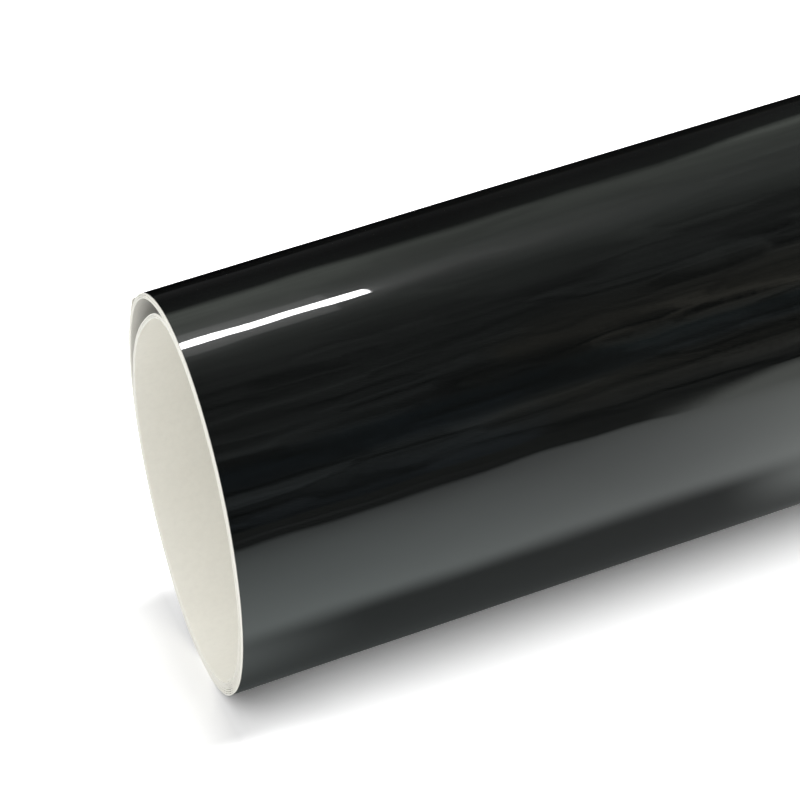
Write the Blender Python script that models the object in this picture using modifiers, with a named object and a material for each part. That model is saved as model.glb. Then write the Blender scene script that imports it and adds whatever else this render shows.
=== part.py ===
"""Roll of self-adhesive sign vinyl, 305 mm wide, wound face out without a core.

The web is three thin layers: a gloss PVC face film, its pressure-sensitive
adhesive and a coated paper release liner. They are slit together, and the
face film has since shrunk back at both edges. About six and a half laps are
wound as a spiral. The roll lies on its side: +X runs along the roll, +Y to
the back and +Z up, and the origin is the centre of the roll's bottom.

The spiral is followed by one running angle, phi, in degrees. phi grows from
the loose outer edge of the web (the tail) inwards to the loose inner edge
(the lead). Modulo one turn it is the angle round the section, measured from
straight up towards the back. Lengths are in metres.
"""

import math

import bmesh
import bpy
from mathutils import Vector

# ----------------------------------------------------------------------- web
OUTER_RADIUS = 0.0380        # to the film's face at the tail edge
WEB_WIDTH = 0.3050           # the liner's full width
FILM_SETBACK = 0.0003        # the film has shrunk this far back from each edge
FILM_WIDTH = WEB_WIDTH - 2 * FILM_SETBACK

FILM_THICKNESS = 0.00009
ADHESIVE_THICKNESS = 0.00002
LINER_THICKNESS = 0.00014
LAYER_GAP = 0.00002          # clearance between two layers of one web
LAP_GAP = 0.00004            # air between one lap and the next

# Depths are measured inwards from the film's face.
ADHESIVE_DEPTH = FILM_THICKNESS + LAYER_GAP
LINER_DEPTH = ADHESIVE_DEPTH + ADHESIVE_THICKNESS + LAYER_GAP
WEB_DEPTH = LINER_DEPTH + LINER_THICKNESS
LAP_PITCH = WEB_DEPTH + LAP_GAP

# ------------------------------------------------- places along phi, degrees
TURN = 360.0
STEP = 6.0                   # one facet of the wound spiral
STRIP = 18.0                 # one bending strip of a loose end
LAST_STRIP = 24.0            # the tail's last strip, which the film peels off
TAIL_STRIPS = 5
LEAD_STRIPS = 2

TAIL_EDGE = 45.0             # the loose outer edge
PEEL_LINE = TAIL_EDGE + STRIP    # where the film starts to leave its liner
TAIL_ROOT = TAIL_EDGE + LAST_STRIP + (TAIL_STRIPS - 1) * STRIP
COIL_SPLIT = 3 * TURN + 177.0    # where the nested inner coil begins
LEAD_EDGE = 6 * TURN + 249.0     # the loose inner edge
LEAD_ROOT = LEAD_EDGE - LEAD_STRIPS * STRIP

PIECE_GAP = 0.075            # half the break between two pieces
ANGLE_TOLERANCE = 1e-6       # keeps a facet line that falls right on the limit

# -------------------------------------------------------------------- buckle
# The inner coil has sprung loose and stands away from the outer one over an
# arc at the top and back.
BUCKLE_CENTRE = 37.0         # degrees, its deepest line
BUCKLE_BEFORE = 46.0         # degrees, it starts this far before that line
BUCKLE_AFTER = 62.0          # degrees, and ends this far after it
BUCKLE_DEPTH = 0.100 * OUTER_RADIUS

# ---------------------------------------------------------------------- tape
TAPE_WIDTH = 0.019
TAPE_THICKNESS = 0.00005
TAPE_GAP = 0.00003           # clearance between the tape and the film
TAPE_PLACE = 0.095           # each tab's distance from the middle of the web
TAPE_REACH = 12.0            # degrees on either side of the tail edge
TAPE_RISE_START = 1.2        # degrees short of the tail edge, still on the lap below
TAPE_RISE_END = 0.2          # degrees short of the tail edge, up at the tail's level

# ------------------------------------------------------------------ modelling
SHARP_ANGLE = 30.0           # degrees between faces that stay sharp
PIVOT_SIZE = 0.01            # drawn size of an empty
INWARDS, OUTWARDS = -1.0, 1.0    # solidify offsets: which side the thickness is on

LAYERS = {
    "film": dict(depth=0.0, thickness=FILM_THICKNESS, width=FILM_WIDTH),
    "adhesive": dict(depth=ADHESIVE_DEPTH, thickness=ADHESIVE_THICKNESS, width=FILM_WIDTH),
    "liner": dict(depth=LINER_DEPTH, thickness=LINER_THICKNESS, width=WEB_WIDTH),
}

FINISHES = {
    # gloss black PVC
    "film": dict(colour=(0.006, 0.007, 0.007), roughness=0.06, coat=1.0),
    # off-white adhesive
    "adhesive": dict(colour=(0.72, 0.70, 0.64), roughness=0.35),
    # off-white coated paper
    "liner": dict(colour=(0.80, 0.78, 0.72), roughness=0.45),
    # clear tape, half see-through
    "tape": dict(colour=(0.86, 0.86, 0.82), roughness=0.25, alpha=0.5),
}


# ------------------------------------------------------------------- section
def spiral_radius(phi):
    """Radius of the film's face where the laps are tight."""
    return OUTER_RADIUS - LAP_PITCH * (phi - TAIL_EDGE) / TURN


def buckle(phi):
    """How far the loose coil stands inwards at phi, and the radius's slope per radian."""
    offset = (phi - BUCKLE_CENTRE + 0.5 * TURN) % TURN - 0.5 * TURN
    arc = BUCKLE_AFTER if offset > 0.0 else BUCKLE_BEFORE
    if abs(offset) >= arc:
        return 0.0, 0.0
    phase = math.pi * offset / arc
    inset = 0.5 * BUCKLE_DEPTH * (1.0 + math.cos(phase))
    slope = -0.5 * BUCKLE_DEPTH * math.sin(phase) * 180.0 / arc
    return inset, slope


def web_point(phi, depth):
    """(y, z) about the roll's axis, depth below the film's face at phi."""
    angle = math.radians(phi)
    out = Vector((math.sin(angle), math.cos(angle)))
    if phi <= COIL_SPLIT:
        return out * (spiral_radius(phi) - depth)

    # The nested laps are offset squarely from one buckled curve.
    along = Vector((math.cos(angle), -math.sin(angle)))
    inset, slope = buckle(phi)
    radius = spiral_radius(COIL_SPLIT) - inset
    normal = (out * radius + along * slope).normalized()
    below = LAP_PITCH * (phi - COIL_SPLIT) / TURN + depth
    return out * radius - normal * below


def stations(start, end):
    """Running angles of a piece: its two ends, and the facet lines between.

    A facet line less than about half a step from either end is left out.
    """
    angles = [start + PIECE_GAP]
    line = TAIL_EDGE + STEP * math.ceil((start - TAIL_EDGE) / STEP + 0.5)
    while line < end - PIECE_GAP - 0.5 * STEP + ANGLE_TOLERANCE:
        angles.append(line)
        line += STEP
    angles.append(end - PIECE_GAP)
    return angles


def tape_section():
    """From the lap underneath, up past the tail edge and along the tail."""
    on_lap = [TAIL_EDGE - TAPE_REACH, TAIL_EDGE - STEP, TAIL_EDGE - TAPE_RISE_START]
    on_tail = [TAIL_EDGE - TAPE_RISE_END, TAIL_EDGE + STEP, TAIL_EDGE + TAPE_REACH]
    angles = [phi + TURN for phi in on_lap] + on_tail
    return [web_point(phi, -TAPE_GAP) for phi in angles]


def axis_place():
    """The roll's axis, set so the outer lap is centred in Y and rests on Z = 0."""
    rim = [web_point(TAIL_EDGE + STEP * i, 0.0) for i in range(int(TURN / STEP) + 1)]
    across = [point.x for point in rim]
    heights = [point.y for point in rim]
    return Vector((0.0, -0.5 * (max(across) + min(across)), -min(heights)))


AXIS = axis_place()


def in_place(point):
    """World place of a (y, z) section point, at the middle of the web."""
    return AXIS + Vector((0.0, point.x, point.y))


# ----------------------------------------------------------------- materials
def make_material(name, colour, roughness, alpha=1.0, coat=0.0):
    material = bpy.data.materials.new(name)
    material.use_nodes = True
    shader = material.node_tree.nodes["Principled BSDF"]
    shader.inputs["Base Color"].default_value = (*colour, 1.0)
    shader.inputs["Roughness"].default_value = roughness
    shader.inputs["Metallic"].default_value = 0.0
    shader.inputs["Alpha"].default_value = alpha
    shader.inputs["Coat Weight"].default_value = coat
    material.diffuse_color = (*colour, alpha)
    return material


# ------------------------------------------------------------ building blocks
pivot_places = {}            # world place of each pivot, by name


def pivot(name, place, collection, parent=None):
    """An empty on a joint's axis, which the moving pieces hang on."""
    empty = bpy.data.objects.new(name, None)
    empty.empty_display_size = PIVOT_SIZE
    collection.objects.link(empty)
    empty.location = place
    if parent is not None:
        empty.parent = parent
        empty.location = place - pivot_places[parent.name]
    pivot_places[name] = place.copy()
    return empty


def sheet_mesh(name, section, middle_x, width, origin):
    """The section line drawn along X, its faces turned away from the roll's axis."""
    bm = bmesh.new()
    start = Vector((middle_x - 0.5 * width, 0.0, 0.0)) - origin
    row = [bm.verts.new(in_place(point) + start) for point in section]
    edges = [bm.edges.new(pair) for pair in zip(row, row[1:])]
    drawn = bmesh.ops.extrude_edge_only(bm, edges=edges)
    moved = [item for item in drawn["geom"] if isinstance(item, bmesh.types.BMVert)]
    bmesh.ops.translate(bm, verts=moved, vec=(width, 0.0, 0.0))

    bm.normal_update()
    bm.faces.ensure_lookup_table()
    first = bm.faces[0]
    outward = first.calc_center_median() + origin - AXIS
    outward.x = 0.0
    if first.normal.dot(outward) < 0.0:
        bmesh.ops.reverse_faces(bm, faces=bm.faces[:])

    mesh = bpy.data.meshes.new(name)
    bm.to_mesh(mesh)
    bm.free()
    return mesh


def sheet(name, section, width, thickness, side, finish, collection, parent, middle_x=0.0):
    """A bent strip with its own material, thickened to one side of its section."""
    mesh = sheet_mesh(name, section, middle_x, width, pivot_places[parent.name])
    mesh.materials.append(make_material(name, **FINISHES[finish]))
    piece = bpy.data.objects.new(name, mesh)
    collection.objects.link(piece)
    piece.parent = parent

    solid = piece.modifiers.new("thickness", "SOLIDIFY")
    solid.thickness = thickness
    solid.offset = side
    solid.use_even_offset = True
    solid.use_rim = True
    mesh.shade_smooth()
    mesh.set_sharp_from_angle(angle=math.radians(SHARP_ANGLE))


def web(prefix, start, end, collection, parent, kinds=tuple(LAYERS)):
    """The given layers of the web between two running angles."""
    for kind in kinds:
        layer = LAYERS[kind]
        section = [web_point(phi, layer["depth"]) for phi in stations(start, end)]
        sheet(f"{prefix}_{kind}", section, layer["width"], layer["thickness"],
              INWARDS, kind, collection, parent)


# -------------------------------------------------------------------- pieces
def build_tail(collection, base):
    """The tail, in strips that bend about lines on the film's face.

    Returns the last fold.
    """
    fold = base
    for i in range(1, TAIL_STRIPS + 1):
        end = TAIL_ROOT - (i - 1) * STRIP
        fold = pivot(f"tail_fold_{i}", in_place(web_point(end, 0.0)), collection, fold)
        prefix = f"tail_strip_{i}"
        if i < TAIL_STRIPS:
            web(prefix, end - STRIP, end, collection, fold)
        else:
            # Only the liner runs on to the tail edge; the peel flap covers it.
            web(prefix, PEEL_LINE, end, collection, fold, ("film", "adhesive"))
            web(prefix, TAIL_EDGE, end, collection, fold, ("liner",))
    return fold


def build_peel_flap(collection, last_fold):
    """The very end of the film and its adhesive, which lift off the liner."""
    peel = pivot("peel_line", in_place(web_point(PEEL_LINE, 0.0)), collection, last_fold)
    web("peel_flap", TAIL_EDGE, PEEL_LINE, collection, peel, ("film", "adhesive"))
    return peel


def build_tape_tabs(collection, peel):
    """Two tabs of clear tape that keep the tail closed."""
    for name, x in (("tape_tab_near", -TAPE_PLACE), ("tape_tab_far", TAPE_PLACE)):
        sheet(name, tape_section(), TAPE_WIDTH, TAPE_THICKNESS,
              OUTWARDS, "tape", collection, peel, middle_x=x)


def build_lead(collection, nest):
    """The lead, in strips that bend about lines on the liner's inner face."""
    fold = nest
    for i in range(1, LEAD_STRIPS + 1):
        start = LEAD_ROOT + (i - 1) * STRIP
        place = in_place(web_point(start, WEB_DEPTH))
        fold = pivot(f"lead_fold_{i}", place, collection, fold)
        web(f"lead_strip_{i}", start, start + STRIP, collection, fold)


def build():
    for old in list(bpy.data.objects):
        bpy.data.objects.remove(old, do_unlink=True)
    roll = bpy.data.collections.new("sign_vinyl_roll")
    bpy.context.scene.collection.children.link(roll)

    # The outer laps hold the roll's shape.
    base = pivot("roll_axis", AXIS, roll)
    web("outer_coil", TAIL_ROOT, COIL_SPLIT, roll, base)

    # The nested laps are free to slide along the axis.
    nest = pivot("inner_coil_slide", AXIS, roll, base)
    web("inner_coil", COIL_SPLIT, LEAD_ROOT, roll, nest)

    last_fold = build_tail(roll, base)
    peel = build_peel_flap(roll, last_fold)
    build_tape_tabs(roll, peel)
    build_lead(roll, nest)


build()
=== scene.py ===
"""A roll of black gloss film on a release liner, with its tail taped down by two tabs.

The roll's axis runs along X and its near end is at -X. It rests on the table, front
is -Y and up is +Z. Each layer of the web (film, adhesive, liner) follows one spiral,
cut into pieces that ride on the frame's bodies or stay where they are drawn.
"""
import math

import bpy
import numpy as np
from mathutils import Matrix, Vector


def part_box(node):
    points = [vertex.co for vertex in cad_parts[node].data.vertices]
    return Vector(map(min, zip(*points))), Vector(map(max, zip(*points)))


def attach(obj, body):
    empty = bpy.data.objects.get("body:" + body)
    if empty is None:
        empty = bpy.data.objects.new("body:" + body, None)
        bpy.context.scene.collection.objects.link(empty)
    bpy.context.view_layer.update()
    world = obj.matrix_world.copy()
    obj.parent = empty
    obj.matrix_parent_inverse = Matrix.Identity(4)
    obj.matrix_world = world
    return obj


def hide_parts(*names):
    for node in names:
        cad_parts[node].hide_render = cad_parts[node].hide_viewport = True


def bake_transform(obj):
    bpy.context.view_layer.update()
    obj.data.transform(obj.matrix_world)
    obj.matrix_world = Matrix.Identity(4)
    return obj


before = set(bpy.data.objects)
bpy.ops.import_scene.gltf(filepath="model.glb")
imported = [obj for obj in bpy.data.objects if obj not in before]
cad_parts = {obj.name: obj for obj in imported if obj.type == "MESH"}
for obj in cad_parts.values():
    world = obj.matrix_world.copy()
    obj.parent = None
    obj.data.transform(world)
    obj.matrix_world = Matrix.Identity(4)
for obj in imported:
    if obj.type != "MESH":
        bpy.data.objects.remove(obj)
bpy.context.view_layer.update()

# ------------------------------------------------------------------ the web
# Lengths are in metres. Angles are in degrees along the web, from the loose outer
# edge inwards: 0 is the top of the roll, 90 its +Y side, 180 its foot. Depths are
# below the film's face.
OUTER_RADIUS = 0.0380
LAP_PITCH = 0.00033
TAIL_EDGE = 45.0
COIL_SPLIT = 3 * 360.0 + 177.0      # where the inner coil starts
LEAD_EDGE = 6 * 360.0 + 249.0       # the web's inner end
WRAP_START = 150.0                  # where the tail leaves the outer coil
NEST_END = 2364.0                   # where the lead leaves the inner coil

# The inner coil's inward buckle: its centre, its reach either side, its height
BUCKLE_CENTRE, BUCKLE_BEFORE, BUCKLE_AFTER = 37.0, 46.0, 62.0
BUCKLE_RISE = 0.100 * OUTER_RADIUS

LINER_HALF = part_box("outer_coil_liner")[1].x
FILM_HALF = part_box("outer_coil_film")[1].x
GLUE_HALF = FILM_HALF - 0.00005
FILM_OUT, FILM_IN = 0.0, 0.000098
GLUE_OUT, GLUE_IN = 0.000100, 0.000128
LINER_OUT, LINER_IN = 0.000130, 0.000298


def spiral_radius(angle):
    return OUTER_RADIUS - LAP_PITCH * (angle - TAIL_EDGE) / 360.0


def from_foot(angle):
    """The angle brought into -180 to 180 degrees."""
    return (angle + 180.0) % 360.0 - 180.0


def section(angle, depth):
    """Points (y, z) about the roll's axis, for arrays of angle and depth."""
    turn = np.radians(angle)
    out_y, out_z = np.sin(turn), np.cos(turn)
    along_y, along_z = np.cos(turn), -np.sin(turn)
    inner = angle > COIL_SPLIT
    offset = from_foot(angle - BUCKLE_CENTRE)
    arc = np.where(offset > 0.0, BUCKLE_AFTER, BUCKLE_BEFORE)
    buckled = inner & (np.abs(offset) < arc)
    phase = np.pi * offset / arc
    rise = np.where(buckled, 0.5 * BUCKLE_RISE * (1.0 + np.cos(phase)), 0.0)
    slope = np.where(buckled, -0.5 * BUCKLE_RISE * np.sin(phase) * 180.0 / arc, 0.0)
    radius = np.where(inner, spiral_radius(COIL_SPLIT) - rise, spiral_radius(angle))
    normal_y = out_y * radius + along_y * slope
    normal_z = out_z * radius + along_z * slope
    size = np.hypot(normal_y, normal_z)
    # inner laps nest below the buckled one, each a pitch deeper
    below = depth + np.where(inner, LAP_PITCH * (angle - COIL_SPLIT) / 360.0, 0.0)
    return out_y * radius - normal_y / size * below, out_z * radius - normal_z / size * below


rim_y, rim_z = section(np.array([TAIL_EDGE + 6.0 * i for i in range(61)]), 0.0)
AXIS_Y = -0.5 * (rim_y.max() + rim_y.min())
AXIS_Z = -rim_z.min()
film_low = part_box("outer_coil_film")[0]
if abs(film_low.z) > 0.0002 or abs(film_low.y - (AXIS_Y + rim_y.min())) > 0.0002:
    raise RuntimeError("the frame's roll isn't where this script draws it")

# Waves of the gloss face. Height in mm, waves round the roll, waves along it, phase;
# then a sway of that phase: its size, waves round, waves along, phase.
WAVES = [
    (0.0400, 3.0, 0.9, 0.7, 0.0, 0.0, 0.0, 0.0),
    (0.0260, 5.0, -1.7, 2.1, 0.0, 0.0, 0.0, 0.0),
    (0.0200, 7.0, 2.6, 4.0, 0.8, 0.0, 1.3, 0.0),
    (0.0130, 11.0, -3.9, 1.2, 0.9, 0.0, 2.3, 1.0),
    (0.0075, 17.0, 7.1, 0.0, 0.8, 2.0, 3.1, 0.0),
    (0.0045, 23.0, -12.3, 0.0, 1.1, 3.0, -2.2, 0.0),
    (0.0028, 31.0, 19.7, 0.0, 1.3, 5.0, 4.1, 0.0),
]
WAVE_LENGTH = 0.305         # along the axis, for one wave
WAVE_LIFT = 0.114           # mm, raises every trough to the true spiral
FADE_START = TAIL_EDGE + 360.0
REST_ARC = 16.0             # no ripple this near the foot
CURL_ARC, CURL_LIFT = 16.0, 0.00055
TAPE_X, TAPE_GRIP = 0.095, 0.017    # where the tabs hold the edge down, and how widely


def ripple(angle, x):
    """How far the gloss face stands out over the true spiral: it is never quite even.
    Only outwards, none where the roll rests, and fading from lap to lap inwards, so
    that laps never meet."""
    turn = np.radians(angle)
    across = x / WAVE_LENGTH * 2.0 * np.pi
    waves = 0.0
    for height, around, along, phase, sway, sway_around, sway_along, sway_phase in WAVES:
        bend = sway * np.sin(sway_around * turn + sway_along * across + sway_phase)
        waves = waves + height * np.sin(around * turn + along * across + phase + bend)
    fade = np.clip(1.0 - (angle - FADE_START) / (COIL_SPLIT - FADE_START), 0.0, 1.0)
    rest = 1.0 - np.exp(-((np.abs(from_foot(angle)) - 180.0) / REST_ARC) ** 2)
    # the loose edge springs up a little where no tape holds it
    curl = np.clip((TAIL_EDGE + CURL_ARC - angle) / CURL_ARC, 0.0, 1.0) ** 2
    curl = curl * (angle > TAIL_EDGE - 1.0)
    held = np.exp(-((np.abs(x) - TAPE_X) / TAPE_GRIP) ** 2)
    return 0.001 * (waves + WAVE_LIFT) * fade * rest + CURL_LIFT * curl * (1.0 - held)


def drift(angle):
    """The slit edges of the laps aren't quite flush: a small shift along the axis."""
    turn = np.radians(angle)
    return 0.00006 * (np.sin(0.83 * turn + 1.0) + 0.6 * np.sin(2.17 * turn + 2.0))


def stations(start, end, step):
    """Angles from start to end. The first and last cells are very short, so that
    shading meets the neighbour's."""
    cells = max(2, int(math.ceil(abs(end - start) / step)))
    even = np.linspace(start, end, cells + 1)
    tip = 0.02 if end > start else -0.02
    return np.concatenate(([start, start + tip], even[1:-1], [end - tip, end]))


def add_object(name, mesh, sharp_angle, material):
    mesh.validate()
    mesh.shade_smooth()
    mesh.set_sharp_from_angle(angle=math.radians(sharp_angle))
    mesh.materials.append(material)
    obj = bpy.data.objects.new(name, mesh)
    bpy.context.scene.collection.objects.link(obj)
    return obj


def grow(name, angles, columns, material):
    """A closed sheet. columns: (x, outer depth, inner depth) across the web."""
    column_x, outer, inner = np.array(columns).T
    angle, x = np.meshgrid(angles, column_x, indexing="ij")
    lift = ripple(angle, x)
    shift = drift(angle)
    skins = []
    for depth in (outer, inner):
        y, z = section(angle, depth - lift)
        skins.append(np.stack([x + shift, AXIS_Y + y, AXIS_Z + z], axis=-1).reshape(-1, 3))
    verts = np.concatenate(skins)

    rows, cols = angle.shape
    under = rows * cols             # from an outer vertex to the inner one below it
    i, j = np.meshgrid(np.arange(rows - 1), np.arange(cols - 1), indexing="ij")
    corner = (i * cols + j).ravel()
    beside, opposite, ahead = corner + 1, corner + cols + 1, corner + cols
    left = np.arange(rows - 1) * cols
    right = left + cols - 1
    first = np.arange(cols - 1)
    last = first + (rows - 1) * cols
    faces = np.concatenate([
        np.stack([corner, beside, opposite, ahead], 1),
        np.stack([corner, ahead, opposite, beside], 1) + under,
        np.stack([left, left + cols, left + cols + under, left + under], 1),
        np.stack([right, right + under, right + cols + under, right + cols], 1),
        np.stack([first, first + under, first + 1 + under, first + 1], 1),
        np.stack([last, last + 1, last + 1 + under, last + under], 1),
    ])
    # turn every face over if the outer skin faces the axis
    quad = verts[faces[0]]
    normal = np.cross(quad[1] - quad[0], quad[2] - quad[0])
    centre = quad.mean(0)
    if normal @ (centre - np.array([centre[0], AXIS_Y, AXIS_Z])) < 0:
        faces = faces[:, ::-1]

    mesh = bpy.data.meshes.new(name)
    mesh.vertices.add(len(verts))
    mesh.vertices.foreach_set("co", verts.astype(np.float32).ravel())
    mesh.loops.add(faces.size)
    mesh.loops.foreach_set("vertex_index", faces.ravel().astype(np.int32))
    mesh.polygons.add(len(faces))
    mesh.polygons.foreach_set("loop_start", (np.arange(len(faces)) * 4).astype(np.int32))
    mesh.update(calc_edges=True)
    return add_object(name, mesh, 28.0, material)


# Columns across the web: (x, outer depth, inner depth)
CORE_INSET = 0.0008         # from a layer's cut edge to its even cells


def both_sides(side, half, outer, inner, cells):
    """Even cells between a side's columns, listed from the edge in, and their mirror."""
    places = np.linspace(-half + CORE_INSET, half - CORE_INSET, cells + 1)
    core = [(x, outer, inner) for x in places]
    return [(-x, top, bottom) for x, top, bottom in side] + core + side[::-1]


def plain_columns(half, outer, inner, cells):
    """A plain layer with an eased cut edge."""
    lip = 0.00003
    middle = 0.5 * (outer + inner)
    ease = 0.35 * (inner - outer)
    side = [
        (half, middle - 0.5 * ease, middle + 0.5 * ease),
        (half - lip, outer, inner),
        (half - 4 * lip, outer, inner),
    ]
    return both_sides(side, half, outer, inner, cells)


def liner_columns(cells):
    """Slitting burrs the liner's edge out towards the lap above it, so the rim closes."""
    burr = 0.000020
    ease = 0.00004
    step = FILM_HALF + 0.00003      # the burr stands just clear of the film
    side = [
        (LINER_HALF, burr + ease, LINER_IN - ease),
        (LINER_HALF - ease, burr, LINER_IN),
        (step + 0.00009, burr, LINER_IN),
        (step + 0.00005, burr + 0.00001, LINER_IN),
        (step, LINER_OUT, LINER_IN),
        (step - 0.0001, LINER_OUT, LINER_IN),
    ]
    return both_sides(side, FILM_HALF, LINER_OUT, LINER_IN, cells)


# ------------------------------------------------------------- shader helpers
class Value:
    """A node's output. Arithmetic on it adds Math nodes to the same tree."""

    def __init__(self, node, output):
        self.tree = node.id_data
        self.socket = node.outputs[output]

    def __add__(self, other):
        return calculate("ADD", self, other)

    def __radd__(self, other):
        return calculate("ADD", other, self)

    def __sub__(self, other):
        return calculate("SUBTRACT", self, other)

    def __rsub__(self, other):
        return calculate("SUBTRACT", other, self)

    def __mul__(self, other):
        return calculate("MULTIPLY", self, other)

    def __truediv__(self, other):
        return calculate("DIVIDE", self, other)


def feed(socket, value):
    """Link a Value to an input, or set the input to a plain value."""
    if isinstance(value, Value):
        value.tree.links.new(value.socket, socket)
    else:
        socket.default_value = value


def feed_named(node, **inputs):
    """Feed inputs by name, with _ for a space."""
    for name, value in inputs.items():
        feed(node.inputs[name.replace("_", " ")], value)


def add(tree, kind, *outputs, inputs=(), **named):
    """Add a node and return the outputs asked for. inputs are fed in order. Names in
    lower case are the node's properties; capitalised ones are its inputs."""
    node = tree.nodes.new("ShaderNode" + kind)
    for name, value in named.items():
        if name[0].islower():
            setattr(node, name, value)
    for index, value in enumerate(inputs):
        feed(node.inputs[index], value)
    feed_named(node, **{k: v for k, v in named.items() if not k[0].islower()})
    values = [Value(node, output) for output in outputs]
    return values[0] if len(values) == 1 else values


def calculate(operation, *terms):
    tree = next(term.tree for term in terms if isinstance(term, Value))
    return add(tree, "Math", "Value", operation=operation, inputs=terms)


def fade(source, over=(0.0, 1.0), to=(0.0, 1.0), curve="SMOOTHSTEP"):
    """Goes from to[0] to to[1] while source goes from over[0] to over[1]."""
    return add(source.tree, "MapRange", "Result", interpolation_type=curve, Value=source,
               From_Min=over[0], From_Max=over[1], To_Min=to[0], To_Max=to[1])


def ramp(source, *stops):
    """A colour ramp. stops: (place, grey level or colour)."""
    node = source.tree.nodes.new("ShaderNodeValToRGB")
    elements = node.color_ramp.elements
    while len(elements) > 1:
        elements.remove(elements[-1])
    for number, (place, tone) in enumerate(stops):
        element = elements.new(place) if number else elements[0]
        element.position = place
        element.color = (tone, tone, tone, 1.0) if isinstance(tone, float) else (*tone, 1.0)
    feed(node.inputs["Fac"], source)
    return Value(node, "Color")


def noise(vector, **inputs):
    return add(vector.tree, "TexNoise", "Fac", Vector=vector, **inputs)


def bump(height, **inputs):
    return add(height.tree, "Bump", "Normal", Height=height, **inputs)


def multiply_colours(first, second, factor):
    return add(first.tree, "Mix", "Result", data_type="RGBA", blend_type="MULTIPLY",
               Factor=factor, A=first, B=second)


def mix_shaders(factor, first, second):
    return add(factor.tree, "MixShader", "Shader", inputs=(factor, first, second))


def new_material(name):
    """A material, its shader and its object coordinates."""
    material = bpy.data.materials.new(name)
    material.use_nodes = True
    tree = material.node_tree
    return material, tree.nodes["Principled BSDF"], add(tree, "TexCoord", "Object")


# ---------------------------------------------------------------- materials
def film_material():
    """Black film: a soft haze under a clean gloss face, with a slow change of polish."""
    material, shader, place = new_material("gloss_film")
    slow = noise(place, Scale=22.0, Detail=3.0, Roughness=0.5)
    # orange peel of the calendered face, over a longer flow
    peel = noise(place, Scale=240.0, Detail=2.0, Roughness=0.5)
    stretched = add(place.tree, "Mapping", "Vector", Vector=place, Scale=(0.45, 1.0, 1.0))
    flow = noise(stretched, Scale=120.0, Detail=1.0, Roughness=0.4, Distortion=0.4)
    flowing = bump(flow, Strength=1.0, Distance=0.000014)
    normal = bump(peel, Strength=1.0, Distance=0.0000035, Normal=flowing)
    feed_named(
        shader,
        IOR=1.16,
        Coat_Weight=1.0,
        Coat_IOR=1.74,
        Base_Color=ramp(slow, (0.3, (0.0018, 0.0021, 0.0021)), (0.7, (0.0026, 0.0031, 0.0029))),
        Roughness=ramp(slow, (0.3, 0.22), (0.7, 0.30)),
        Coat_Roughness=ramp(slow, (0.3, 0.010), (0.7, 0.024)),
        Normal=normal,
        Coat_Normal=normal,
    )
    return material


def liner_material():
    """Cream paper with fibres and clouds; its cut edges, the faces square to the axis, are
    darkened with painted shade, since the light from -X falls on them strongly.
    """
    material, shader, place = new_material("release_liner")
    fibre = noise(place, Scale=900.0, Detail=5.0, Roughness=0.6)
    cloud = noise(place, Scale=45.0, Detail=3.0, Roughness=0.55)
    tone = ramp(cloud, (0.25, (0.735, 0.718, 0.650)), (0.55, (0.765, 0.750, 0.685)),
                (0.8, (0.790, 0.777, 0.722)))
    paper = multiply_colours(tone, ramp(fibre, (0.3, 0.94), (0.6, 1.0)), factor=0.6)
    # painted shade: faces square to the axis, the laps' cut edges, are made darker than the
    # paper, against the strong light from -X
    true_normal = add(place.tree, "NewGeometry", "True Normal")
    sideways = calculate("ABSOLUTE", add(place.tree, "SeparateXYZ", "X", Vector=true_normal))
    cut = ramp(sideways, (0.35, 1.0), (0.7, 0.86))
    feed_named(
        shader,
        Base_Color=multiply_colours(paper, cut, factor=1.0),
        Roughness=ramp(fibre, (0.3, 0.38), (0.7, 0.50)),
        Specular_IOR_Level=0.4,
        Normal=bump(fibre, Strength=0.35, Distance=0.00001),
    )
    return material


def glue_material():
    material, shader, place = new_material("adhesive_coat")
    grain = noise(place, Scale=300.0, Detail=3.0, Roughness=0.55)
    feed_named(
        shader,
        Base_Color=ramp(grain, (0.3, (0.335, 0.33, 0.315)), (0.75, (0.375, 0.368, 0.352))),
        Roughness=ramp(grain, (0.3, 0.22), (0.7, 0.38)),
        Normal=bump(grain, Strength=0.3, Distance=0.00002),
    )
    return material


def tape_material():
    """Clear tape: nearly invisible but for its gloss and patches of haze."""
    material, shader, place = new_material("clear_tape")
    patches = noise(place, Scale=210.0, Detail=4.0, Roughness=0.55, Distortion=0.3)
    feed_named(
        shader,
        Base_Color=(0.78, 0.77, 0.70, 1),
        Alpha=ramp(patches, (0.35, 0.012), (0.62, 0.028), (0.78, 0.085)),
        Roughness=ramp(patches, (0.3, 0.07), (0.7, 0.16)),
        Normal=bump(patches, Strength=0.5, Distance=0.00002),
    )
    return material


FILM = film_material()
LINER = liner_material()
GLUE = glue_material()
TAPE = tape_material()

# ------------------------------------------------------------- the web's pieces
# Each layer's material, slot and columns
LAYERS = {
    "film": (FILM, "black_film",
             lambda cells: plain_columns(FILM_HALF, FILM_OUT, FILM_IN, cells)),
    "adhesive": (GLUE, "adhesive",
                 lambda cells: plain_columns(GLUE_HALF, GLUE_OUT, GLUE_IN, cells)),
    "liner": (LINER, "release_liner", liner_columns),
}
FINE_STEP, FINE_CELLS = 0.75, 126       # for the film's face on the outermost lap


def anchor(angle):
    """The point on the film's face at this angle, at mid-width."""
    y, z = section(np.array([angle]), np.array([0.0]))
    return (0.0, AXIS_Y + float(y[0]), AXIS_Z + float(z[0]))


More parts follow.
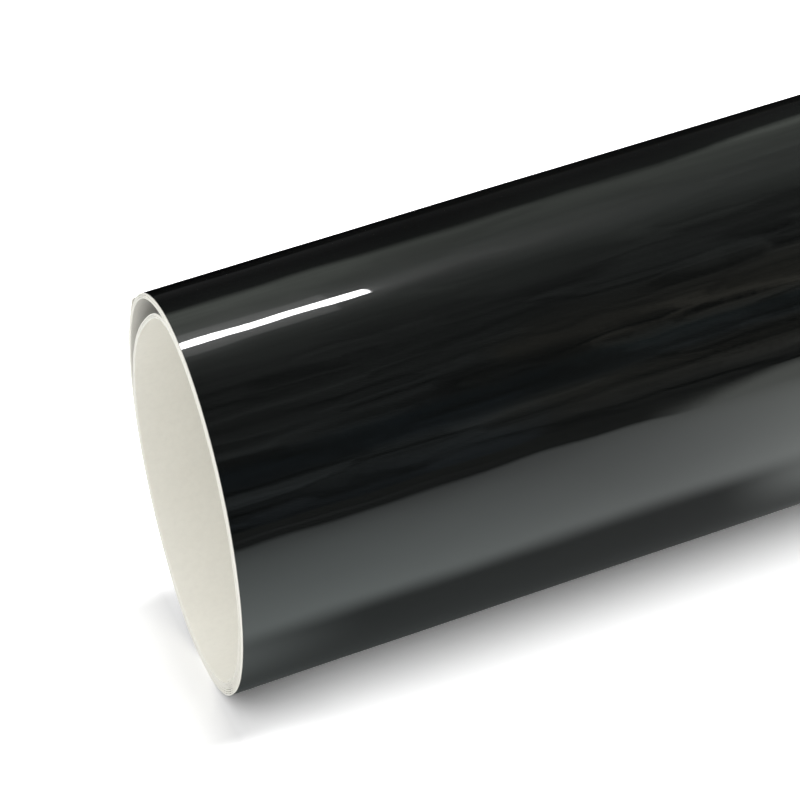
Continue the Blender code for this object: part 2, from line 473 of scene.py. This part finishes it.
def lay(name, start, end, body, other=None, turn=None, replaced=None,
        kinds=tuple(LAYERS), cells=36, step=1.0):
    """Each layer of one stretch of web. It rides on body; given other, it is left where it
    is drawn and rides on neither, and the points at the two angles of turn go unused."""
    for kind in kinds:
        material, slot, columns = LAYERS[kind]
        fine = kind == "film" and start < 180.0
        angles = stations(start, end, FINE_STEP if fine else step)
        piece = grow(f"{name}_{kind}", angles, columns(FINE_CELLS if fine else cells), material)
        if other:
            anchor(turn[0])
            anchor(turn[1])
            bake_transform(piece)
        else:
            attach(piece, body)
        if replaced:
            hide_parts(f"{replaced}_{kind}")


lay("wrap", WRAP_START, 410.0, "outer_coil", replaced="outer_coil", step=1.5)
lay("laps", 410.0, COIL_SPLIT, "outer_coil", cells=24, step=2.0)
lay("nest", COIL_SPLIT + 0.05, NEST_END, "inner_coil", replaced="inner_coil",
    cells=10, step=2.0)

# The strips between folds are short, so most pieces that cross a fold are given a turn
# span wide either side of it; lay works out the points at its two ends but uses neither,
# so nothing bends there.
WIDE = 28.0
FIRST_FOLD, STRIP_ARC = 141.0, 18.0
lay("tail_a", WRAP_START, 141.0, "outer_coil", "tail_strip_1", turn=(145.0, 137.0))
body = "outer_coil"
for strip, (letter, start, end) in enumerate([
        ("b", 141.0, 132.0), ("c", 132.0, 114.0), ("d", 114.0, 96.0),
        ("e", 96.0, 78.0), ("f", 78.0, 69.0)]):
    fold = FIRST_FOLD - strip * STRIP_ARC
    other = f"tail_strip_{strip + 1}"
    lay(f"tail_{letter}", start, end, body, other, turn=(fold + WIDE, fold - WIDE),
        replaced=other)
    body = other
lay("tail_g", 69.0, 63.0, "tail_strip_4", "tail_strip_5", turn=(75.0, 63.0))
lay("tail_end", 63.0, TAIL_EDGE, "tail_strip_5", kinds=("liner",))
lay("flap", 63.0, TAIL_EDGE, "tail_strip_5", "peel_flap", turn=(63.0, 57.0),
    replaced="peel_flap", kinds=("film", "adhesive"), step=0.75)

lay("lead_a", NEST_END, 2373.0, "inner_coil", "lead_strip_1", turn=(2369.0, 2377.0), cells=10)
lay("lead_b", 2373.0, 2382.0, "inner_coil", "lead_strip_1",
    turn=(2373.0 - WIDE, 2373.0 + WIDE), replaced="lead_strip_1", cells=10)
lay("lead_c", 2382.0, 2391.0, "lead_strip_1", "lead_strip_2",
    turn=(2391.0 - WIDE, 2391.0 + WIDE), cells=10)
lay("lead_d", 2391.0, LEAD_EDGE, "lead_strip_1", "lead_strip_2",
    turn=(2382.0, 2400.0), replaced="lead_strip_2", cells=10)

# ----------------------------------------------------------------- tape tabs
TAPE_REACH = 12.0           # degrees either side of the tail's edge
TAPE_STEP_ARC = 0.9         # degrees over which it climbs onto the tail
TAPE_GAP, TAPE_THICK = 0.000012, 0.00005
TOOTH_WIDTH, TOOTH_DEPTH = 0.0011, 0.405    # of the torn ends: metres, degrees


def tape(name, node):
    """A tab of clear tape over the tail's edge: it bridges the step and its torn ends
    are ragged."""
    low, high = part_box(node)
    foot = TAIL_EDGE - TAPE_STEP_ARC
    angles = np.concatenate([
        np.linspace(TAIL_EDGE - TAPE_REACH, foot, 14),
        np.linspace(foot + 0.12, TAIL_EDGE - 0.12, 8),
        np.linspace(TAIL_EDGE, TAIL_EDGE + TAPE_REACH, 16),
    ])
    climb = np.clip((angles - foot) / (TAPE_STEP_ARC - 0.1), 0.0, 1.0)
    climb = climb * climb * (3 - 2 * climb)
    lower = (1.0 - climb)[:, None]
    angle, x = np.meshgrid(angles, np.linspace(low.x, high.x, 25), indexing="ij")
    teeth = 2.0 * np.abs(((x[0] - low.x) / TOOTH_WIDTH) % 1.0 - 0.5) * TOOTH_DEPTH
    angle[0] += teeth
    angle[-1] -= teeth

    tail_face = spiral_radius(angle) + ripple(angle, x)
    lap_face = spiral_radius(angle + 360.0) + ripple(angle + 360.0, x)
    face = (1 - lower) * tail_face + lower * lap_face
    turn = np.radians(angle)
    skins = []
    for above in (TAPE_GAP + TAPE_THICK, TAPE_GAP):
        radius = face + above
        points = [x, AXIS_Y + radius * np.sin(turn), AXIS_Z + radius * np.cos(turn)]
        skins.append(np.stack(points, axis=-1).reshape(-1, 3))
    verts = np.concatenate(skins)

    rows, cols = angle.shape
    under = rows * cols
    faces = []
    for i in range(rows - 1):
        for j in range(cols - 1):
            a = i * cols + j
            faces.append((a, a + cols, a + cols + 1, a + 1))
            faces.append((a + under, a + 1 + under, a + cols + 1 + under, a + cols + under))
        left = i * cols
        right = left + cols - 1
        faces.append((left, left + under, left + cols + under, left + cols))
        faces.append((right, right + cols, right + cols + under, right + under))
    for j in range(cols - 1):
        last = (rows - 1) * cols + j
        faces.append((j, j + 1, j + 1 + under, j + under))
        faces.append((last, last + under, last + 1 + under, last + 1))
    mesh = bpy.data.meshes.new(name)
    mesh.from_pydata([tuple(v) for v in verts], [], faces)
    tab = add_object(name, mesh, 30.0, TAPE)
    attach(tab, "peel_flap")
    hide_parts(node)


tape("tape_near", "tape_tab_near")
tape("tape_far", "tape_tab_far")

# -------------------------------------------------------------------- floor
FLOOR_Z = AXIS_Z - spiral_radius(180.0) - 0.00001
FLOOR_HALF = 6.0
floor_mesh = bpy.data.meshes.new("floor")
floor_mesh.from_pydata(
    [(x * FLOOR_HALF, y * FLOOR_HALF, FLOOR_Z) for x, y in ((-1, -1), (1, -1), (1, 1), (-1, 1))],
    [], [(0, 1, 2, 3)])
floor = bpy.data.objects.new("floor", floor_mesh)
bpy.context.scene.collection.objects.link(floor)


def mirrored_table(tree):
    """What the gloss film sees of the table: lit in front, the roll's own shadow
    beside it, and little behind it."""
    position, incoming = add(tree, "NewGeometry", "Position", "Incoming")
    x, y = add(tree, "SeparateXYZ", "X", "Y", Vector=position)

    # the shadow by the roll, opened up past its ends and by a gleam along it
    shadow = fade(y, over=(-0.053, -0.040))
    ends = (fade(x, over=(-0.157, -0.124), to=(0.50, 1.0))
            * fade(x, over=(0.124, 0.157), to=(1.0, 0.50)))
    gleam = (fade(x, over=(-0.060, -0.040), to=(0.0, 0.54))
             * fade(x, over=(-0.020, 0.060), to=(1.0, 0.0)))
    opened = (1.0 - ends * (1.0 - gleam)) * fade(y, over=(-0.038, -0.020), to=(1.0, 0.12))
    shadow = shadow * (1.0 - opened)
    lit = 1.0 - shadow * 0.84
    shade = fade(y, over=(-0.044, -0.012), to=(1.0, 0.35))

    # dimmer away from the roll, brighter towards +X
    away = fade(y, over=(-0.24, -0.04), curve="LINEAR")
    far = ramp(away, (0.0, 0.43), (0.25, 0.54), (0.43, 0.64), (0.65, 0.77), (0.82, 0.90),
               (0.92, 1.0))
    far = far * 1.13 * fade(x, over=(-0.075, -0.005), to=(1.0, 1.72))

    # the table's front edge, nearer the roll towards -X
    reach = calculate("MAXIMUM", x + 0.012, 0.0) * 3.7 + 0.285
    edge = fade(y / reach + 1.0, over=(-0.17, 0.15))

    # dim things on the floor beyond that edge
    wide = add(tree, "Mapping", "Vector", Vector=position, Scale=(5.0, 11.0, 1.0))
    things = noise(wide, Scale=1.0, Detail=2.0, Roughness=0.5)
    beyond = (1.0 - edge) * fade(things, over=(0.3, 0.7), to=(0.015, 0.115))
    front = (lit * shade * far * edge + beyond) * fade(y, over=(0.05, 0.12), to=(1.0, 0.02))

    # the table behind the roll, past the shadow that falls there
    rear = fade(y, over=(0.042, 0.125)) * fade(y, over=(0.10, 0.42), to=(1.05, 0.50))
    rear = rear * fade(y, over=(0.52, 0.60), to=(1.0, 0.06))
    rear = rear * fade(things, over=(0.2, 0.8), to=(0.90, 1.10))
    # it stays dark in the direction that the film's top line mirrors to the camera
    ray_x = add(tree, "SeparateXYZ", "X", Vector=incoming)
    ray_across = calculate("SQRT", calculate("MAXIMUM", 1.0 - ray_x * ray_x, 0.01))
    heading = ray_x * -1.0 / ray_across
    dark = fade(heading, over=(0.06, 0.11)) * fade(heading, over=(0.32, 0.42), to=(1.0, 0.0))
    rear = rear * (1.0 - dark)

    # the tint is greener than grey, and bluer towards -X
    hue = add(tree, "CombineXYZ", "Vector",
              X=fade(x, over=(-0.14, -0.05), to=(0.905, 0.945)), Y=1.0,
              Z=fade(x, over=(-0.06, 0.02), to=(0.985, 0.935)))
    return x, y, add(tree, "Emission", "Emission", Color=hue, Strength=front + rear)


def floor_material():
    """Matt white to the eye, brighter than it is to other light; the film mirrors the
    drawn table instead."""
    material = bpy.data.materials.new("floor")
    material.use_nodes = True
    tree = material.node_tree
    tree.nodes.clear()
    x, y, seen = mirrored_table(tree)
    glossy, camera = add(tree, "LightPath", "Is Glossy Ray", "Is Camera Ray")

    # at the near end the shadow also creeps out a little from under the rim
    out_of = fade(x, over=(-0.175, -0.130), curve="LINEAR")
    creep = ramp(
        out_of, (0.0, 1.0), (0.156, 0.80), (0.333, 0.50), (0.422, 0.44), (0.489, 0.41),
        (0.533, 0.48), (0.578, 0.58), (0.622, 0.68), (0.689, 0.80), (0.778, 0.885),
        (0.889, 0.96), (1.0, 1.0))
    close = fade(y, over=(-0.036, -0.024)) * fade(y, over=(0.026, 0.042), to=(1.0, 0.0))
    creep = 1.0 + close * camera * (creep - 1.0)

    bright = fade(camera, to=(0.93, 1.85), curve="LINEAR")
    glow = fade(camera, to=(0.50, 0.065), curve="LINEAR")
    matt = add(tree, "BsdfDiffuse", "BSDF", Color=bright * creep)
    own = add(tree, "Emission", "Emission", Color=(1, 1, 1, 1), Strength=glow * creep)
    plain = add(tree, "AddShader", "Shader", inputs=(matt, own))
    add(tree, "OutputMaterial", Surface=mix_shaders(glossy, plain, seen))
    return material


floor_mesh.materials.append(floor_material())

# -------------------------------------------------------------------- world
# The mirrored room is drawn by angle round the X axis: 0 is level to the front (-Y),
# 90 straight up, 180 level to the back. A ramp covers it from -30 degrees.
ROOM_BELOW, ROOM_ARC = 30.0, 260.0


def at(degrees):
    """The ramp's place for an angle round the room."""
    return (degrees + ROOM_BELOW) / ROOM_ARC


def arc(turn, start, end, to=(0.0, 1.0)):
    """A fade between two angles round the room."""
    return fade(turn, over=(at(start), at(end)), to=to)


def mirrored_room(tree, x, y, z):
    """The colour of the room that the gloss film mirrors."""
    angle = calculate("ARCTAN2", z, y * -1.0)
    turn = (angle / (math.pi / 180.0) + ROOM_BELOW) / ROOM_ARC
    flat = add(tree, "CombineXYZ", "Vector", Y=y, Z=z)
    flat = add(tree, "VectorMath", "Value", operation="LENGTH", inputs=(flat,))
    along = x / calculate("MAXIMUM", flat, 0.02)    # slope towards +X

    place = add(tree, "CombineXYZ", "Vector", X=along * 42.0, Y=angle * 8.5)
    clutter = noise(place, Scale=1.0, Detail=3.0, Roughness=0.55, Distortion=0.7)
    place = add(tree, "CombineXYZ", "Vector", X=along * 20.0, Y=angle * 3.0, Z=3.7)
    drape = noise(place, Scale=1.0, Detail=2.0, Roughness=0.5)

    # outlines in the room wander a little and lean
    sway = (drape - 0.5) * arc(turn, 95.0, 140.0, to=(0.055, 0.010))
    lean = (along - 0.19) * arc(turn, 70.0, 125.0, to=(0.16, 0.0))
    steep = calculate("MAXIMUM", along - 0.229, 0.0) * arc(turn, 105.0, 135.0, to=(0.0, 1.6))
    turn = turn + (sway + (lean - steep))

    room = ramp(
        turn,
        (at(-30.0), 0.02),
        (at(-4.0), (0.016, 0.022, 0.028)),
        (at(3.0), (0.050, 0.060, 0.070)),
        (at(20.0), (0.088, 0.098, 0.100)),
        (at(27.0), (0.030, 0.040, 0.050)),
        (at(36.0), (0.018, 0.028, 0.036)),
        (at(42.0), (0.064, 0.070, 0.070)),
        (at(60.0), (0.058, 0.062, 0.060)),
        (at(75.0), (0.058, 0.062, 0.060)),
        (at(91.0), (0.072, 0.076, 0.073)),
        (at(100.0), (0.135, 0.147, 0.136)),
        (at(112.0), (0.190, 0.206, 0.190)),
        (at(121.0), (0.215, 0.232, 0.212)),
        (at(145.6), (0.250, 0.268, 0.242)),
        (at(151.6), (0.012, 0.013, 0.0125)),
        (at(166.0), (0.008, 0.008, 0.008)),
        (at(180.0), (0.020, 0.020, 0.020)),
    )
    # clutter is strongest low down in front
    busy = ramp(turn, (at(-30.0), 0.3), (at(5.0), 1.0), (at(70.0), 1.0), (at(96.0), 0.42),
                (at(125.0), 0.16), (at(180.0), 0.1))
    level = calculate("MAXIMUM", (clutter - 0.5) * 5.0 * busy + 1.0, 0.10)

    # lighter overhead at small slopes, and at large slopes along the rear outline,
    # low in front, and in a pale band there
    overhead = arc(turn, 108.0, 122.0) * fade(along, over=(0.172, 0.200), to=(0.75, 0.0))
    rim = arc(turn, 139.0, 146.0) * fade(along, over=(0.230, 0.250), to=(0.0, 0.75))
    low = (arc(turn, 70.0, 100.0, to=(1.0, 0.0))
           * fade(along, over=(0.222, 0.246), to=(0.0, 0.55)))
    pale = arc(turn, 24.0, 34.0) * arc(turn, 40.0, 58.0, to=(1.0, 0.0))
    low = low + pale * fade(along, over=(0.214, 0.228), to=(0.0, 1.2))
    level = level * (1.0 + (overhead + (rim + low)))

    # a pale wall low down behind the roll, to either side of the dark part
    wall = arc(turn, 152.0, 160.0) * arc(turn, 170.0, 178.0, to=(1.0, 0.0))
    beside = fade(along, over=(0.32, 0.50)) + fade(along, over=(-0.05, 0.10), to=(1.0, 0.0))
    level = level * (1.0 + wall * (beside * 9.0))

    # low down, the room is a little warmer at larger slopes
    warm = fade(along, over=(0.200, 0.216)) * arc(turn, 50.0, 75.0, to=(1.0, 0.0))
    warmth = 0.16
    tint = add(tree, "CombineXYZ", "Vector",
               X=warm * warmth + 0.98, Y=1.0, Z=1.0 - warm * warmth)
    tinted = add(tree, "VectorMath", "Vector", operation="MULTIPLY", inputs=(room, tint))
    return add(tree, "VectorMath", "Vector", operation="SCALE", inputs=(tinted,), Scale=level)


def build_world():
    """White to the camera, the drawn room to the film, soft light to the rest."""
    world = bpy.data.worlds.new("studio")
    bpy.context.scene.world = world
    world.use_nodes = True
    tree = world.node_tree
    tree.nodes.clear()
    direction = add(tree, "TexCoord", "Generated")
    x, y, z = add(tree, "SeparateXYZ", "X", "Y", "Z", Vector=direction)
    room = add(tree, "Background", "Background", Color=mirrored_room(tree, x, y, z),
               Strength=1.0)
    # the soft light is stronger from above and from -X
    height = fade(z, over=(-0.05, 0.95), to=(0.32, 1.18))
    tilt = calculate("MAXIMUM", 1.30 - x * 0.95, 0.15)
    ambient = add(tree, "Background", "Background", Color=(1, 1, 1, 1), Strength=height * tilt)
    white = add(tree, "Background", "Background", Color=(1, 1, 1, 1), Strength=1.0)
    glossy, camera = add(tree, "LightPath", "Is Glossy Ray", "Is Camera Ray")
    lighting = mix_shaders(glossy, ambient, room)
    add(tree, "OutputWorld", Surface=mix_shaders(camera, lighting, white))


build_world()


# ------------------------------------------------------------------- lights
def area(name, centre, target, size, power, glossy, diffuse=True):
    """A rectangular light, its first side level along X as nearly as it can be."""
    light = bpy.data.lights.new(name, "AREA")
    light.shape = "RECTANGLE"
    light.size, light.size_y = size
    light.energy = power
    lamp = bpy.data.objects.new(name, light)
    bpy.context.scene.collection.objects.link(lamp)
    lamp.location = centre
    back = -(Vector(target) - Vector(centre)).normalized()
    up = back.cross(Vector((1, 0, 0))).normalized()
    side = up.cross(back)
    lamp.rotation_mode = "QUATERNION"
    lamp.rotation_quaternion = Matrix((side, up, back)).transposed().to_quaternion()
    lamp.visible_camera = False
    lamp.visible_glossy = glossy
    lamp.visible_diffuse = diffuse


# The long tube lamp the film mirrors as one bright line, and its reflector behind it
TUBE_ANGLE = math.radians(116.1)        # round the roll's axis, from level at the front
TUBE_LOW_X, TUBE_HIGH_X = -0.90, 0.0646
TUBE_LENGTH = TUBE_HIGH_X - TUBE_LOW_X
TUBE_X = (TUBE_LOW_X + TUBE_HIGH_X) / 2
for name, distance, width, power in (
        ("tube_lamp", 1.0, 0.079, 7.3), ("lamp_reflector", 1.05, 0.30, 0.32)):
    centre = (TUBE_X, AXIS_Y - distance * math.cos(TUBE_ANGLE),
              AXIS_Z + distance * math.sin(TUBE_ANGLE))
    area(name, centre, target=(TUBE_X, AXIS_Y, AXIS_Z), size=(TUBE_LENGTH, width),
         power=power, glossy=True, diffuse=False)
# the soft box that lights the paper and the table from the front and above
area("soft_box", (-0.5, -1.3, 1.5), target=(-0.05, 0, 0.03), size=(1.6, 1.2), power=0.6,
     glossy=False)

# ------------------------------------------------------------------- camera
# The view is the lower left part of a wider, level picture, so that picture's own
# axis points well off to the upper right of what is kept. Directions in the level
# camera are (right, down, ahead).
SENSOR_WIDTH = 36.0                     # mm
FOCAL_LENGTH = 294.60375                # mm, of the level camera
KEPT_RIGHT, KEPT_DOWN = -107.1648, 90.90495     # mm, kept view's centre on its sensor
ROLL_TURN, ROLL_TIP = 0.1842, 0.5847    # radians, the roll's axis up and away from right
NEAR_END = Vector((-12.8273, 10.4377, 32.3421)) * OUTER_RADIUS
RISE = math.radians(31.4)               # the camera above level, seen along the roll

# the frame's axes in the level camera
axis_x = Vector((math.cos(ROLL_TURN) * math.cos(ROLL_TIP),
                 -math.sin(ROLL_TURN) * math.cos(ROLL_TIP), math.sin(ROLL_TIP)))
to_camera = (-(NEAR_END - NEAR_END.dot(axis_x) * axis_x)).normalized()
square_up = to_camera.cross(axis_x)
axis_z = math.sin(RISE) * to_camera + math.cos(RISE) * square_up
axis_y = axis_z.cross(axis_x)
world_from_camera = Matrix((axis_x, axis_y, axis_z))

near_centre = Vector((-LINER_HALF + 0.00008, AXIS_Y, AXIS_Z))
eye = near_centre + world_from_camera @ (-NEAR_END)
right = world_from_camera @ Vector((1, 0, 0))
up = world_from_camera @ Vector((0, -1, 0))
ahead = world_from_camera @ Vector((KEPT_RIGHT / FOCAL_LENGTH, KEPT_DOWN / FOCAL_LENGTH, 1.0))
back = -ahead.normalized()

camera_data = bpy.data.cameras.new("camera")
camera_data.sensor_width = SENSOR_WIDTH
camera_data.lens = FOCAL_LENGTH * ahead.length
camera_data.clip_start, camera_data.clip_end = 0.01, 50.0
camera = bpy.data.objects.new("camera", camera_data)
bpy.context.scene.collection.objects.link(camera)
# These directions aren't square to each other, which a plain rotation can't hold, so
# they are kept in the link to a parent.
stand = bpy.data.objects.new("camera_stand", None)
bpy.context.scene.collection.objects.link(stand)
camera.parent = stand
camera.matrix_parent_inverse = Matrix((
    (right.x, up.x, back.x, eye.x),
    (right.y, up.y, back.y, eye.y),
    (right.z, up.z, back.z, eye.z),
    (0, 0, 0, 1),
))
bpy.context.scene.camera = camera
bpy.context.view_layer.update()

bpy.context.scene.view_settings.view_transform = "Standard"
bpy.context.scene.view_settings.look = "None"
